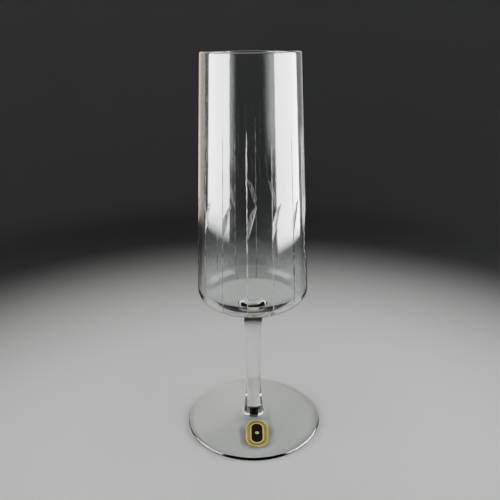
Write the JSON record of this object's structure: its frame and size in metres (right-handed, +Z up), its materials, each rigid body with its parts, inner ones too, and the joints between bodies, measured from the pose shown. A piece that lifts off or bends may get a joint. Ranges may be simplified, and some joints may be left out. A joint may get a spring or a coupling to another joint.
{
  "type": "champagne flute",
  "caption": "Tall cut-crystal champagne flute with a tapered bowl, leaf-cut wall, slim stem, round foot and a small plain foil label.",
  "frame": {"origin": "middle of the resting plane under the foot", "axes": "+Z up along the stem; -Y is the front, where the label lies on the foot; +X to the right seen from the front"},
  "size_m": [0.0698, 0.0698, 0.187],
  "materials": {
    "crystal": "fire-polished clear crystal, mitre cuts satin from the wheel",
    "foil": "embossed gold foil with a dark printed oval"
  },
  "bodies": {
    "root": {"bowl": "crystal", "stem": "crystal", "foot": "crystal", "label": "foil"}
  },
  "joints": []
}
